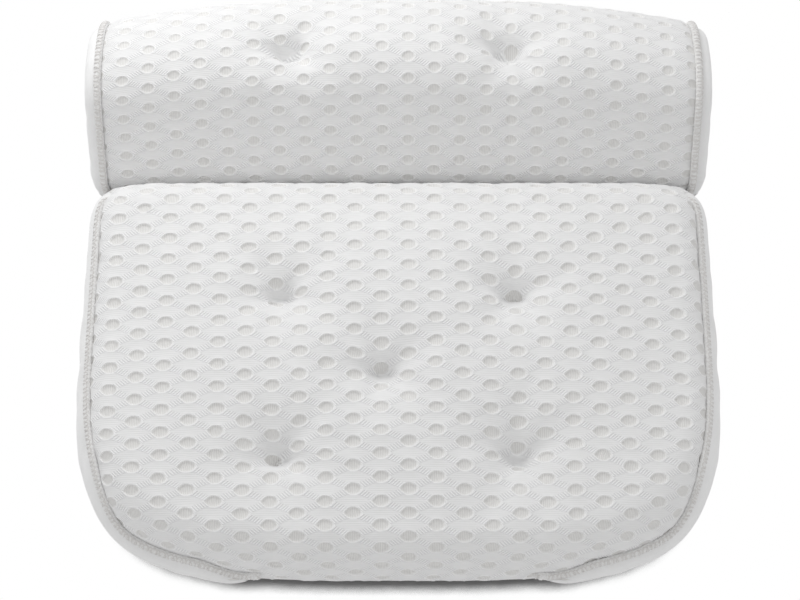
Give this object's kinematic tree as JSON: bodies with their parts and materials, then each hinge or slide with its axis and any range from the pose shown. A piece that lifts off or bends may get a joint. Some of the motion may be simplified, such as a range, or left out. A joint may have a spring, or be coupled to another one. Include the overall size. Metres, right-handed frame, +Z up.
{
  "type": "bath pillow",
  "caption": "Padded bath pillow in white air mesh: a tufted back cushion with a folding head cushion, side gussets with piping, and swivelling suction cups on the rear.",
  "frame": {"origin": "centre of the bounding box in plan, on the plane of the suction cups' lips", "axes": "+Z up out of the front face as it lies on its cups, +Y from the back cushion towards the head cushion, +X to the right as seen in the picture"},
  "size_m": [0.39, 0.366, 0.1114],
  "materials": {
    "air_mesh": "matte",
    "knit": "matte",
    "filling": "matte",
    "thread": "matte",
    "eyelet": "satin",
    "cup": "gloss"
  },
  "bodies": {
    "back_cushion": {"back_front_cover": "air_mesh", "back_rear_panel": "air_mesh", "back_filling": "filling", "back_gusset_left": "knit", "back_gusset_right": "knit", "back_piping_left": "knit", "back_piping_right": "knit", "back_tuft_upper_left": "thread", "back_tuft_upper_right": "thread", "back_tuft_centre": "thread", "back_tuft_lower_left": "thread", "back_tuft_lower_right": "thread", "back_upper_left_eyelet": "eyelet", "back_upper_right_eyelet": "eyelet", "back_lower_left_eyelet": "eyelet", "back_lower_right_eyelet": "eyelet", "fold_seam": "knit"},
    "head_cushion": {"head_front_cover": "air_mesh", "head_rear_panel": "air_mesh", "head_filling": "filling", "head_end_cap_left": "knit", "head_end_cap_right": "knit", "head_piping_left": "knit", "head_piping_right": "knit", "head_tuft_left": "thread", "head_tuft_right": "thread", "head_left_eyelet": "eyelet", "head_right_eyelet": "eyelet"},
    "cup_back_upper_left": {"back_upper_left_suction_cup": "cup"},
    "cup_back_upper_right": {"back_upper_right_suction_cup": "cup"},
    "cup_back_lower_left": {"back_lower_left_suction_cup": "cup"},
    "cup_back_lower_right": {"back_lower_right_suction_cup": "cup"},
    "cup_head_left": {"head_left_suction_cup": "cup"},
    "cup_head_right": {"head_right_suction_cup": "cup"}
  },
  "joints": [
    {"name": "head_fold", "type": "hinge", "parent": "back_cushion", "child": "head_cushion", "pos_m": [0, 0.069, 0.02056], "axis": [-1, 0, 0], "range_deg": [0, 90]},
    {"name": "back_upper_left_swivel", "type": "hinge", "parent": "back_cushion", "child": "cup_back_upper_left", "pos_m": [-0.115, 0.017, 0], "axis": [0, 0, 1], "continuous": true},
    {"name": "back_upper_right_swivel", "type": "hinge", "parent": "back_cushion", "child": "cup_back_upper_right", "pos_m": [0.115, 0.017, 0], "axis": [0, 0, 1], "continuous": true},
    {"name": "back_lower_left_swivel", "type": "hinge", "parent": "back_cushion", "child": "cup_back_lower_left", "pos_m": [-0.115, -0.115, 0], "axis": [0, 0, 1], "continuous": true},
    {"name": "back_lower_right_swivel", "type": "hinge", "parent": "back_cushion", "child": "cup_back_lower_right", "pos_m": [0.115, -0.115, 0], "axis": [0, 0, 1], "continuous": true},
    {"name": "head_left_swivel", "type": "hinge", "parent": "head_cushion", "child": "cup_head_left", "pos_m": [-0.115, 0.127, 0], "axis": [0, 0, 1], "continuous": true},
    {"name": "head_right_swivel", "type": "hinge", "parent": "head_cushion", "child": "cup_head_right", "pos_m": [0.115, 0.127, 0], "axis": [0, 0, 1], "continuous": true}
  ]
}
